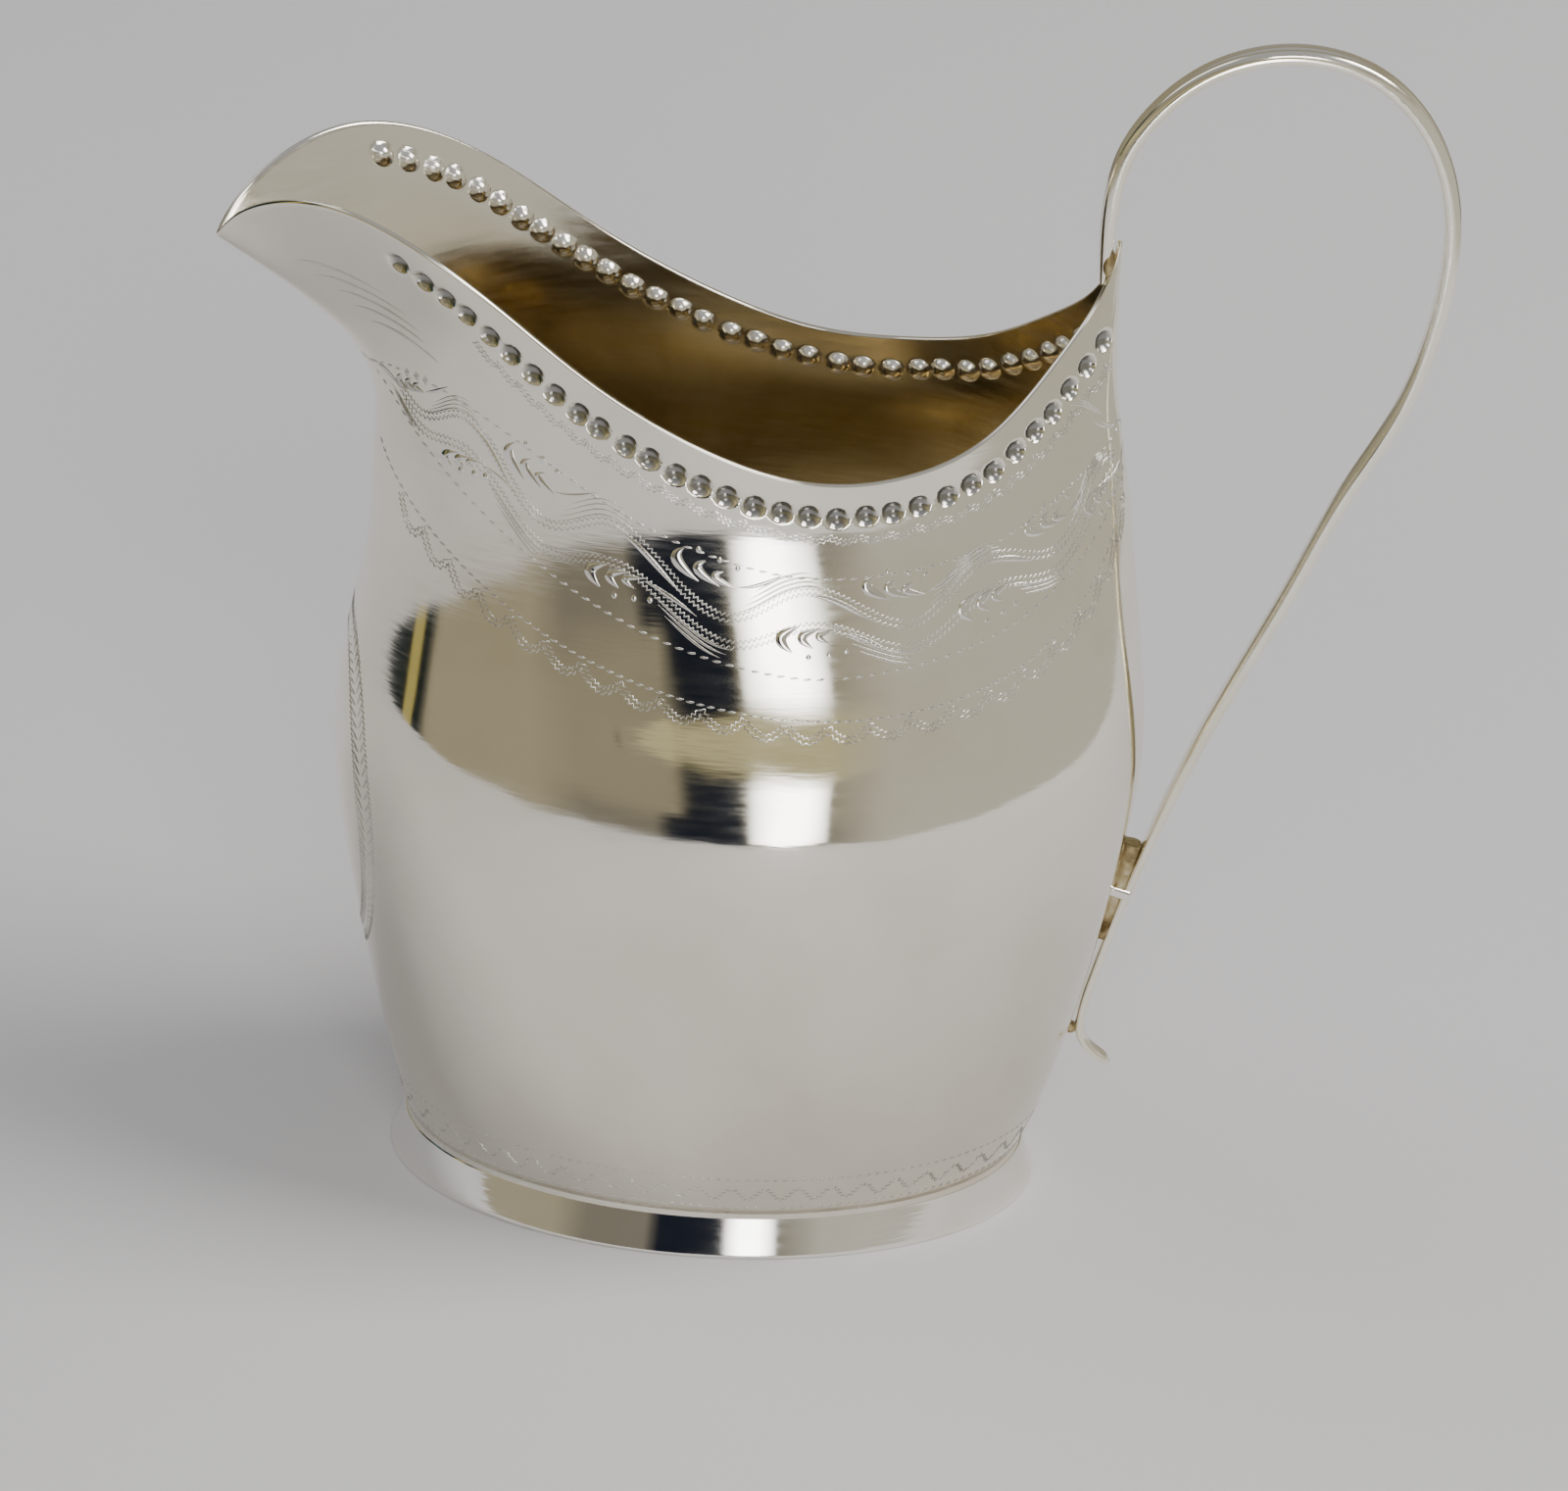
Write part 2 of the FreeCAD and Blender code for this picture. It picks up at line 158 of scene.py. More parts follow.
def body_skin(angle, height, depth):
    """A point in the sheet: depth 0 is the outer face and 1 the inner one."""
    outer = body_point(angle, height)
    normal = body_normal(angle, height)
    level = np.clip((height - SEAT) / SEAT_BLEND, 0.0, 1.0)
    normal = normal * np.stack([np.ones_like(level), np.ones_like(level), level], -1)
    normal /= np.linalg.norm(normal, axis=-1, keepdims=True)
    thinned = ramp(height, LIP_FROM, 2.0) * np.clip(np.cos(np.radians(angle)), 0.0, None) ** 4
    point = outer - normal * (SHEET * depth * (1.0 - LIP_THINNING * thinned))[..., None]
    kept = 1.0 - LIP_CLOSING * depth
    side = np.sign(outer[..., 1])
    point[..., 1] = side * np.maximum(side * point[..., 1], kept * np.abs(outer[..., 1]))
    return point


# ---------------------------------------------------------------- mesh helpers
def make_piece(name, points, faces, materials, face_material=None, body="root"):
    """A smooth mesh from points in millimetres, riding on the jug."""
    mesh = bpy.data.meshes.new(name)
    mesh.from_pydata((np.asarray(points) * MM).tolist(), [], faces)
    for material in materials:
        mesh.materials.append(material)
    if face_material is not None:
        mesh.polygons.foreach_set("material_index", np.asarray(face_material, np.int32))
    mesh.polygons.foreach_set("use_smooth", np.ones(len(mesh.polygons), bool))
    mesh.validate()
    mesh.update()
    piece = bpy.data.objects.new(name, mesh)
    bpy.context.scene.collection.objects.link(piece)
    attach(piece, body)
    return piece


def ring_faces(first, second, count):
    """Quads between two closed rows of vertices that start at these indices."""
    i = np.arange(count)
    j = (i + 1) % count
    return np.stack([first + i, first + j, second + j, second + i], -1).tolist()


def fan_faces(coarse, fine, count, share):
    """One many-sided face per coarse edge, meeting a finer row above it."""
    faces = []
    for i in range(count):
        j = (i + 1) % count
        upper = [fine + (i * share + k) % (count * share) for k in range(share, -1, -1)]
        faces.append([coarse + i, coarse + j] + upper)
    return faces


# ---------------------------------------------------------------- the body
def below_rim(angles, drop):
    """Heights, by angle, of the line that stays a fixed distance from the rim's edge."""
    spread = np.linspace(10.0, 180.0, 500)
    edge = body_point(spread, TOP)
    coarse = np.linspace(10.0, 180.0, 171)
    heights = np.full_like(coarse, TOP - drop)
    for _ in range(8):
        place = body_point(coarse, heights)
        gap = np.linalg.norm(place[:, None, :] - edge[None, :, :], axis=-1).min(-1)
        heights = TOP - np.clip((TOP - heights) * drop / gap, 0.0, 3.0 * drop)
    return np.interp(np.abs(angles), coarse, heights)


def bead_centres():
    """(angle, height) of each punched bead, evenly spaced a fixed drop below the rim."""
    found = []
    for side in (-1.0, 1.0):
        angles = np.linspace(BEADS_FROM, BEADS_TO, 1400)
        heights = below_rim(angles, BEAD_DROP)
        line = body_point(angles, heights)
        run = np.concatenate([[0.0], np.cumsum(np.linalg.norm(np.diff(line, axis=0), axis=-1))])
        start = BEAD_PITCH if side < 0 else 0.0
        places = np.arange(start, run[-1], BEAD_PITCH)
        places = places + rng.normal(0.0, BEAD_WANDER, len(places))
        at = np.interp(places, run, angles)
        drift = rng.normal(0.0, BEAD_DRIFT, len(places))
        found += list(zip(side * at, np.interp(at, angles, heights) + drift))
    return np.array(found)


BEADS = bead_centres()
BEAD_PLACES = body_point(BEADS[:, 0], BEADS[:, 1])


def bead_push(angle, height, depth):
    """How far the punch has pushed the sheet inwards at points of the bead band."""
    place = body_point(angle, height)
    gap = np.linalg.norm(place[..., None, :] - BEAD_PLACES, axis=-1).min(-1)
    radius = DIMPLE_RADIUS + (DOME_RADIUS - DIMPLE_RADIUS) * depth
    push = DIMPLE_DEPTH + (DOME_HEIGHT - DIMPLE_DEPTH) * depth
    inside = np.clip(1.0 - (gap / radius) ** 2, 0.0, None)
    return push * inside ** DIMPLE_ROUNDNESS


def build_body(silver, interior):
    """The raised sheet, outer face, rim and inner face, finer where the beads are punched."""
    coarse, share = 300, 3
    fine = coarse * share
    band_from = BEADS[:, 1].min() - 1.6
    low = SEAT + (band_from - 0.5 - SEAT) * np.linspace(0.0, 1.0, 82)
    high = band_from + (TOP - RIM_ROUNDING - band_from) * np.linspace(0.0, 1.0, 44)
    around_coarse = np.arange(coarse) * 360.0 / coarse - 180.0
    around_fine = np.arange(fine) * 360.0 / fine - 180.0
    points, faces, slots, starts, film, dimple_shade_and_dull = [], [], [], [], [], []
    film_coarse = below_rim(around_coarse, BEAD_DROP + FILM_DROP)
    film_fine = below_rim(around_fine, BEAD_DROP + FILM_DROP)

    def add_row(around, height, depth, beaded):
        row = body_skin(around, np.full_like(around, height), depth)
        # the yellow film starts below the beads and fades towards the lip
        lip = np.exp(-((np.abs(around) / FILM_LIP_SPREAD) ** 4))
        start = film_coarse if len(around) == coarse else film_fine
        film.append(np.clip((start - height) / (FILM_FADE + FILM_FADE_LIP * lip), 0.0, 1.0) * depth)
        push = np.zeros_like(around)
        if beaded:
            push = bead_push(around, np.full_like(around, height), depth)
            row -= body_normal(around, height) * push[:, None]
        # painted shade: the outer faces of the punched dimples get a weight that darkens their colour
        # as shade in the hollows, and also makes them rougher
        dimple_shade_and_dull.append(np.clip(push / DIMPLE_DEPTH * 1.5, 0.0, 1.0) * (1.0 - depth))
        starts.append(sum(len(p) for p in points))
        points.append(row)

    def join(slot, count, kind="ring"):
        a, b = starts[-2], starts[-1]
        if kind == "ring":
            new = ring_faces(a, b, count)
        elif kind == "open":
            new = fan_faces(a, b, count, share)
        else:
            new = [face[::-1] for face in fan_faces(b, a, count, share)]
        faces.extend(new)
        slots.extend([slot] * len(new))

    for k, height in enumerate(low):
        add_row(around_coarse, height, 0.0, False)
        if k:
            join(0, coarse)
    for k, height in enumerate(high):
        add_row(around_fine, height, 0.0, True)
        join(0, fine if k else coarse, "ring" if k else "open")
    for depth, height in ((0.2, TOP - 0.03), (0.5, TOP), (0.8, TOP - 0.03)):
        add_row(around_fine, height, depth, False)
        join(0, fine)
    for k, height in enumerate(high[::-1]):
        add_row(around_fine, height, 1.0, True)
        join(1 if k else 0, fine)
    for k, height in enumerate(low[::-1]):
        add_row(around_coarse, height, 1.0, False)
        join(1, coarse, "ring" if k else "close")
    starts.append(0)
    join(0, coarse)
    piece = make_piece("body_sheet", np.concatenate(points), faces, [silver, interior], slots)
    for name, values in (("film", film), ("dimple_shade_and_dull", dimple_shade_and_dull)):
        layer = piece.data.attributes.new(name, "FLOAT", "POINT")
        layer.data.foreach_set("value", np.concatenate(values).astype(np.float32))
    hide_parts("body_shell")


# ---------------------------------------------------------------- engraving
class Cuts:
    """Collects graver cuts laid on the body as shallow furrows between two fine burrs."""

    def __init__(self):
        self.points, self.faces = [], []

    def furrow(self, angles, heights, width, burr=0.045, shift=None, taper=0.0):
        """One cut along a path of angles and heights. taper narrows its two ends."""
        angles, heights = np.asarray(angles, float), np.asarray(heights, float)
        line, normal = body_point(angles, heights), body_normal(angles, heights)
        along = np.gradient(line, axis=0)
        along /= np.maximum(np.linalg.norm(along, axis=-1, keepdims=True), 1e-9)
        side = np.cross(normal, along)
        side /= np.linalg.norm(side, axis=-1, keepdims=True)
        if shift is not None:
            line = line + side * np.asarray(shift)[:, None]
            along = np.gradient(line, axis=0)
            along /= np.maximum(np.linalg.norm(along, axis=-1, keepdims=True), 1e-9)
            side = np.cross(normal, along)
            side /= np.linalg.norm(side, axis=-1, keepdims=True)
        share = np.linspace(0.0, 1.0, len(line))
        ends = np.sin(np.pi * np.clip(share, 0.03, 0.97)) ** taper if taper else np.ones(len(line))
        wide = np.asarray(width) * ends
        start = sum(len(p) for p in self.points)
        profile = [(-0.5, -0.01), (-0.40, burr), (0.0, 0.006), (0.40, burr), (0.5, -0.01)]
        rows = []
        for across, rise in profile:
            lifted = rise * (ends if rise == burr else 1.0) * np.ones(len(line))
            rows.append(line + side * (across * wide)[:, None] + normal * lifted[:, None])
        self.points.append(np.stack(rows, 1).reshape(-1, 3))
        n = len(profile)
        for i in range(len(line) - 1):
            for k in range(n - 1):
                a = start + i * n + k
                self.faces.append([a, a + 1, a + n + 1, a + n])

    def resample(self, angles, heights, step):
        """The same path at even steps of arc length, with the run along it."""
        line = body_point(angles, heights)
        run = np.concatenate([[0.0], np.cumsum(np.linalg.norm(np.diff(line, axis=0), axis=-1))])
        count = max(int(run[-1] / step), 2)
        places = np.linspace(0.0, run[-1], count + 1)
        return np.interp(places, run, angles), np.interp(places, run, heights), places

    def wriggle(self, angles, heights, reach, pitch=0.56, width=0.17, shift=0.0):
        """A zigzag walked along the path by rocking the graver."""
        a, h, _ = self.resample(angles, heights, pitch / 2.0)
        sway = np.where(np.arange(len(a)) % 2 == 0, -1.0, 1.0) * reach
        self.furrow(a, h, width, shift=shift + sway)

    def double_wriggle(self, angles, heights, gap=0.62, reach=0.17):
        """Two zigzags side by side."""
        for shift in (-gap / 2.0, gap / 2.0):
            self.wriggle(angles, heights, reach, shift=shift)

    def dashes(self, angles, heights, pitch=1.3, dash=0.85, width=0.26):
        """A row of short leaf-shaped nicks."""
        fine_a, fine_h, run = self.resample(angles, heights, 0.1)
        for start in np.arange(0.0, run[-1] - dash, pitch):
            spots = np.linspace(start, start + dash, 5)
            lean = np.linspace(-0.07, 0.07, 5)
            self.furrow(np.interp(spots, run, fine_a), np.interp(spots, run, fine_h), width,
                        shift=lean, taper=0.6)

    def comma(self, angle, height, reach_angle, reach_height, hook, width):
        """A curved bright-cut gouge, fat in the middle and hooked."""
        s = np.linspace(0.0, 1.0, 15)
        bow = np.sin(np.pi * s)
        angles = angle + reach_angle * (s - 0.5) - hook * bow
        heights = height + reach_height * (s - 0.5)
        self.furrow(angles, heights, width, burr=0.10, taper=0.8)

    def dot(self, angle, height, size):
        """A short round nick."""
        s = np.linspace(-0.5, 0.5, 5)
        tall = size / 1.2
        self.furrow(np.full(5, angle), height + s * tall, size * 0.8, burr=0.07, taper=0.5)

    def piece(self, name, material):
        """Make one mesh of all the cuts."""
        made = make_piece(name, np.concatenate(self.points), self.faces, [material])


def border(side_height, front_rise, front_power, back_rise, back_power):
    """Height of an engraved line by angle: level at the flank, rising to both ends."""
    def height(angle):
        ahead = np.clip((100.0 - np.abs(angle)) / 100.0, 0.0, None)
        behind = np.clip((np.abs(angle) - 100.0) / 80.0, 0.0, None)
        return side_height + front_rise * ahead ** front_power + back_rise * behind ** back_power
    return height


upper_border = border(77.5, 4.7, 1.3, 2.6, 1.0)
lower_border = border(66.6, 17.3, 1.5, 12.5, 1.5)
swag_border = border(62.4, 17.0, 1.7, 17.4, 2.0)
VINE_CREST, VINE_PERIOD = 102.5, 29.3
FLANK_BAND = 10.9        # the band's height at the flank, which the leaves are drawn for
LEAF_LOBES = ((-3.6, 3.0, 1.15), (-0.4, 2.3, 0.95), (2.2, 1.6, 0.75))   # shift, height, width


def band_height(angle):
    return upper_border(angle) - lower_border(angle)


def in_band(angle, share):
    """Height at a share of the vine band: -0.5 on the lower border, 0.5 on the upper one."""
    top, bottom = upper_border(angle), lower_border(angle)
    return (top + bottom) / 2.0 + share * (top - bottom)


def vine(angle, line):
    """The upper (1) or lower (-1) wave of the vine, as a height."""
    wave = np.cos(2.0 * np.pi * (np.abs(angle) - VINE_CREST) / VINE_PERIOD)
    if line > 0:
        return in_band(angle, 0.156 + 0.216 * wave)
    return in_band(angle, -0.148 + 0.160 * wave)


def hang_swags(cuts, angles, heights, pitch, sag, gap):
    """Little swags in a double zigzag, hanging from a line."""
    a, h, run = cuts.resample(angles, heights, 0.25)
    hang = np.abs(np.sin(np.pi * run / pitch)) ** 0.8
    cuts.double_wriggle(a, h - sag * hang, gap=gap, reach=0.14)


def engrave_borders(material):
    """Three dashed lines, with swags under the beads and under the lowest line."""
    cuts = Cuts()
    for side in (-1.0, 1.0):
        long_way = side * np.linspace(12.0, 174.0, 500)
        cuts.dashes(long_way, upper_border(long_way))
        cuts.dashes(long_way, lower_border(long_way))
        cuts.dashes(long_way, swag_border(long_way), pitch=1.05, dash=0.8)
        line = side * np.linspace(52.0, 172.0, 900)
        hang_swags(cuts, line, below_rim(line, BEAD_DROP + 2.0), pitch=2.9, sag=0.7, gap=0.42)
        line = side * np.linspace(24.0, 172.0, 900)
        hang_swags(cuts, line, swag_border(line) - 0.5, pitch=4.2, sag=1.4, gap=0.55)
    cuts.piece("engraved_borders", material)


def engrave_vine(material):
    """Two waving stems with leaves, flutes between them, and sprays on the throat."""
    cuts = Cuts()
    for side in (-1.0, 1.0):
        line = side * np.linspace(24.0, 168.0, 900)
        for wave in (1, -1):
            cuts.double_wriggle(line, vine(line, wave))
        for k in range(-3, 4):
            crest = VINE_CREST + k * VINE_PERIOD
            trough = crest - VINE_PERIOD / 2.0
            squeeze = band_height(trough) / FLANK_BAND
            for middle, share, flip in ((trough, 0.36, 1.0), (crest, -0.13, -1.0)):
                if not 26.0 < middle < 164.0:
                    continue
                base = in_band(middle, share)
                for n, (shift, tall, fat) in enumerate(LEAF_LOBES):
                    cuts.comma(side * (middle + shift), base - 0.3 * flip * n * squeeze,
                               side * 1.6, -tall * flip * squeeze, side * 2.2, fat)
                    cuts.dot(side * (middle + shift + 1.6), base + flip * (tall * 0.62) * squeeze, 0.7)
                stem = side * np.linspace(middle + 3.0, middle + 11.0, 24)
                reach = np.linspace(0.0, 1.0, 24)
                cuts.furrow(stem, base + flip * squeeze * (-1.1 + 2.6 * reach ** 1.6), 0.42, taper=0.9)
            # fine flutes that run with the vine from each trough up to the next crest
            for n in range(4):
                flute = side * np.linspace(crest - 12.0 + n, crest + 3.5 - n, 26)
                lift = 0.05 + 0.045 * n
                heights = vine(flute, 1) + lift * band_height(flute)
                cuts.furrow(flute, heights, 0.26, taper=0.8)
            for n in range(3):
                flute = side * np.linspace(crest + 4.0 + n, crest + 16.0 - n, 26)
                heights = vine(flute, -1) - (0.05 + 0.05 * n) * band_height(flute)
                cuts.furrow(flute, heights, 0.26, taper=0.8)
            sweep = side * np.linspace(crest - 0.5, crest + 9.0, 26)
            cuts.furrow(sweep, vine(sweep, 1) - 0.055 * band_height(sweep), 0.6, taper=0.9)
        # sprays on the throat, under the lip
        for n in range(5):
            spray = side * np.linspace(16.0 + 1.5 * n, 34.0 + 1.5 * n, 30)
            reach = np.linspace(0.0, 1.0, 30)
            cuts.furrow(spray, 87.2 - 0.9 * n - 2.2 * reach ** 1.5, 0.3, taper=0.8)
    cuts.piece("engraved_vine", material)


def engrave_base(material):
    """A zigzag wave between two dashed lines, just above the foot."""
    cuts = Cuts()
    around = np.linspace(-180.0, 180.0, 1500)
    for level, width in ((5.75, 0.3), (9.5, 0.24)):
        cuts.dashes(around, np.full_like(around, level), pitch=0.95, dash=0.62, width=width)
    wave_level, wave_rise, wave_pitch = 7.5, 0.75, 3.4
    a, h, run = cuts.resample(around, np.full_like(around, wave_level), 0.28)
    cuts.wriggle(a, h + wave_rise * np.cos(2.0 * np.pi * run / wave_pitch), 0.16, width=0.17)
    cuts.piece("engraved_base_border", material)


def engrave_cartouche(material):
    """A hatched oval wreath under the lip, left blank inside."""
    cuts = Cuts()
    turns = np.linspace(0.0, 2.0 * np.pi, 400)
    half_high, half_wide, middle = 17.6, 10.2, 42.3

    def on_oval(turn, grow):
        height = middle + (half_high + grow) * np.cos(turn)
        wide = (half_wide + grow) * np.sin(turn)
        width = half_width(height)
        return np.degrees(np.arcsin(np.clip(wide / width, -0.95, 0.95))), height

    for grow in (-1.2, 1.1):
        angles, heights = on_oval(turns, grow)
        cuts.wriggle(angles, heights, 0.15, width=0.16)
    for turn in np.arange(0.0, 2.0 * np.pi, 0.072):
        for lean in (-1.0, 1.0):
            s = np.linspace(0.0, 1.0, 7)
            angles, heights = on_oval(turn + 0.075 * s ** 1.4, lean * (0.15 + 0.85 * s))
            cuts.furrow(angles, heights, 0.3, taper=0.7)
    cuts.piece("engraved_wreath", material)


# ---------------------------------------------------------------- foot and handle
def build_foot(silver):
    """The flared ring, with softened arrises and the sheet's thin rolled lower edge."""
    count = 240
    turn = np.arange(count) * 2.0 * np.pi / count
    outline = [(0.0, 0.25), (0.05, 0.09), (0.16, 0.065), (0.24, 0.085)]
    up_wall = (0.1, 0.15, 0.3, 0.45, 0.6, 0.75, 0.88, 0.94)
    outline += [(FOOT_HEIGHT * s, FOOT_FLARE * s) for s in up_wall]
    outline += [(FOOT_HEIGHT - 0.12, FOOT_FLARE * 0.97), (FOOT_HEIGHT - 0.02, FOOT_FLARE + 0.1)]
    outline += [(FOOT_HEIGHT, FOOT_FLARE + 0.4)]
    outline += [(FOOT_HEIGHT * s, FOOT_FLARE * s + FOOT_WALL) for s in (1.0, 0.8, 0.6, 0.4, 0.2)]
    outline += [(0.1, FOOT_WALL + 0.02), (0.0, FOOT_WALL - 0.12)]
    points, faces = [], []
    for height, inset in outline:
        x = (FOOT_HALF_LENGTH - inset) * np.cos(turn)
        y = (FOOT_HALF_WIDTH - inset * FOOT_SIDE_SHARE) * np.sin(turn)
        points.append(np.stack([x, y, np.full(count, height)], -1))
    for k in range(len(outline)):
        faces += ring_faces(k * count, ((k + 1) % len(outline)) * count, count)
    piece = make_piece("foot_flare", np.concatenate(points), faces, [silver])
    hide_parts("foot_ring")


def build_handle(silver):
    """The strap: rounded outside with three reeds, and a shallow hollow inside."""
    line = np.array(HANDLE)
    run = np.concatenate([[0.0], np.cumsum(np.hypot(*np.diff(line, axis=0).T))])
    share = run / run[-1]
    line_x, line_z = spline(list(zip(share, line[:, 0]))), spline(list(zip(share, line[:, 1])))
    sections = np.array(HANDLE_SECTION)
    width, thick = spline(sections[:, [0, 1]]), spline(sections[:, [0, 2]])
    s = np.linspace(0.0, 1.0, 520)
    around = 48
    turn = np.arange(around) * 2.0 * np.pi / around
    tangent = np.stack([np.gradient(line_x(s)), np.gradient(line_z(s))], -1)
    tangent /= np.linalg.norm(tangent, axis=-1, keepdims=True)
    outward = np.stack([-tangent[:, 1], np.zeros(len(s)), tangent[:, 0]], -1)
    c, n = np.cos(turn), np.sin(turn)
    across = np.sign(n) * np.abs(n) ** STRAP_SQUARENESS
    rise = np.sign(c) * np.abs(c) ** STRAP_SQUARENESS
    # three reeds along the outer face and one hollow along the inner face
    reed = REED_DEPTH * (np.cos(np.pi * across * REEDS) - 1.0) * np.clip(c, 0.0, None) ** 0.5
    hollow = STRAP_HOLLOW * np.clip(-c, 0.0, None) ** 2
    rise = rise + reed + hollow
    centre = np.stack([line_x(s), np.zeros(len(s)), line_z(s)], -1)
    half_w, half_t = width(s) / 2.0, thick(s) / 2.0
    # the very end of the tail is filed blunt
    blunt = 0.25 + 0.75 * np.clip((1.0 - s) / 0.006, 0.0, 1.0) ** 0.5
    points = (
        centre[:, None, :]
        + np.array([0.0, 1.0, 0.0]) * (across * (half_w * blunt)[:, None])[..., None]
        + outward[:, None, :] * (rise * (half_t * blunt)[:, None])[..., None]
    )
    faces = []
    for k in range(len(s) - 1):
        faces += ring_faces(k * around, (k + 1) * around, around)
    faces.append(list(range(around))[::-1])
    faces.append(list(range((len(s) - 1) * around, len(s) * around)))
    piece = make_piece("reeded_handle", points.reshape(-1, 3), faces, [silver])
    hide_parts("handle_strap")


# ---------------------------------------------------------------- materials
def set_stops(ramp_node, stops):
    """Give a colour ramp its (position, colour) stops."""
    elements = ramp_node.color_ramp.elements
    while len(elements) < len(stops):
        elements.new(0.5)
    for element, (position, colour) in zip(elements, stops):
        element.position = position
        element.color = (*colour, 1.0)


class Nodes:
    """Short spellings for building a material's node tree."""

    def __init__(self, name):
        self.material = bpy.data.materials.new(name)
        self.material.use_nodes = True
        self.tree = self.material.node_tree
        self.shader = self.tree.nodes["Principled BSDF"]
        self.place = self.tree.nodes.new("ShaderNodeTexCoord").outputs["Object"]

    def node(self, kind, **inputs):
        made = self.tree.nodes.new(kind)
        for key, value in inputs.items():
            self.feed(made.inputs[key.replace("_", " ")], value)
        return made

    def feed(self, socket, value):
        if isinstance(value, bpy.types.NodeSocket):
            self.tree.links.new(value, socket)
        else:
            socket.default_value = value

    def stretched(self, x, y, z):
        mapping = self.node("ShaderNodeMapping", Vector=self.place)
        mapping.inputs["Scale"].default_value = (x, y, z)
        return mapping.outputs["Vector"]

    def noise(self, scale, detail, rough, vector=None, distortion=0.0):
        made = self.node("ShaderNodeTexNoise", Vector=vector or self.place, Scale=scale,
                         Detail=detail, Roughness=rough, Distortion=distortion)
        return made.outputs["Fac"]

    def ramp(self, fac, *stops):
        made = self.node("ShaderNodeValToRGB", Fac=fac)
        set_stops(made, stops)
        return made.outputs["Color"]

    def span(self, fac, low, high, to_low, to_high):
        made = self.node("ShaderNodeMapRange", Value=fac)
        made.inputs["From Min"].default_value = low
        made.inputs["From Max"].default_value = high
        made.inputs["To Min"].default_value = to_low
        made.inputs["To Max"].default_value = to_high
        return made.outputs["Result"]

    def attribute(self, name):
        made = self.tree.nodes.new("ShaderNodeAttribute")
        made.attribute_name = name
        return made.outputs["Fac"]

    def mix(self, fac, first, second):
        made = self.tree.nodes.new("ShaderNodeMix")
        made.data_type = "RGBA"
        self.feed(made.inputs["Factor"], fac)
        self.feed(made.inputs["A"], first)
        self.feed(made.inputs["B"], second)
        return made.outputs["Result"]

    def math(self, operation, first, second):
        made = self.tree.nodes.new("ShaderNodeMath")
        made.operation = operation
        self.feed(made.inputs[0], first)
        self.feed(made.inputs[1], second)
        return made.outputs[0]

    def bump(self, height, strength, distance, normal=None):
        made = self.node("ShaderNodeBump", Height=height, Strength=strength, Distance=distance)
        if normal is not None:
            self.feed(made.inputs["Normal"], normal)
        return made.outputs["Normal"]


def silver_material(
    name, pale, warm, rough_low, rough_high, wave=0.35, scratch=0.25, tarnish=0.35, low_shade=0.0,
):
    """Polished silver: faint hammer waves, polishing scratches, a breath of tarnish, and painted shade
    in the punched dimples and low on the wall.
    """
    n = Nodes(name)
    shader = n.shader
    shader.inputs["Metallic"].default_value = 1.0
    clouds = n.noise(55.0, 4.0, 0.6)
    film = n.span(clouds, 0.45, 0.72, 0.0, tarnish)
    clean = n.mix(film, (*pale, 1.0), (*warm, 1.0))
    dimple_shade_and_dull = n.attribute("dimple_shade_and_dull")
    fine = n.noise(900.0, 2.0, 0.6, n.stretched(0.25, 0.25, 1.6))
    patch = n.noise(38.0, 3.0, 0.55)
    rough = n.math(
        "MULTIPLY", n.span(fine, 0.3, 0.7, 0.7, 1.3), n.span(patch, 0.35, 0.7, rough_low, rough_high))
    # painted shade: the lowest part of the wall is darkened and greyed towards the foot, standing in
    # for the shaded floor near the jug that it mirrors
    height = n.node("ShaderNodeSeparateXYZ", Vector=n.place).outputs["Z"]
    low_shade_mask = n.span(height, 0.006, 0.046, low_shade, 0.0)
    low_shade_mask = n.math("MULTIPLY", low_shade_mask, n.span(n.noise(30.0, 3.0, 0.5), 0.3, 0.7, 0.6, 1.2))
    # painted shade: the punched dimples are darkened towards a dark grey, standing in for shade in the
    # hollows; the extra roughness below is their real rougher finish
    shown = n.mix(n.math("MULTIPLY", dimple_shade_and_dull, 0.8), clean, (0.13, 0.135, 0.145, 1.0))
    n.feed(shader.inputs["Base Color"], n.mix(low_shade_mask, shown, (0.42, 0.38, 0.31, 1.0)))
    n.feed(shader.inputs["Roughness"], n.math("ADD", rough, n.math("MULTIPLY", dimple_shade_and_dull, 0.16)))
    waves = n.bump(n.noise(42.0, 2.0, 0.5), wave, 0.0006)
    lines = n.noise(2600.0, 1.0, 0.5, n.stretched(0.12, 0.12, 1.0))
    n.feed(shader.inputs["Normal"], n.bump(lines, scratch, 0.00001, waves))
    return n.material


def interior_material():
    """The inside, yellowed and brushed, browner in patches low down."""
    n = Nodes("inside_silver")
    n.shader.inputs["Metallic"].default_value = 1.0
    clouds = n.noise(48.0, 5.0, 0.62, distortion=0.6)
    deep = n.ramp(
        clouds, (0.30, (0.56, 0.46, 0.27)), (0.55, (0.78, 0.68, 0.46)), (0.75, (0.88, 0.81, 0.63)))
    n.feed(n.shader.inputs["Base Color"], n.mix(n.attribute("film"), (0.90, 0.87, 0.79, 1.0), deep))
    fine = n.noise(700.0, 3.0, 0.6, n.stretched(0.2, 0.2, 1.5))
    n.feed(n.shader.inputs["Roughness"], n.span(fine, 0.3, 0.7, 0.13, 0.27))
    lines = n.noise(1500.0, 2.0, 0.5, n.stretched(0.15, 0.15, 1.0))
    dents = n.bump(n.noise(60.0, 2.0, 0.4), 0.4, 0.0006)
    n.feed(n.shader.inputs["Normal"], n.bump(lines, 0.35, 0.00002, dents))
    return n.material


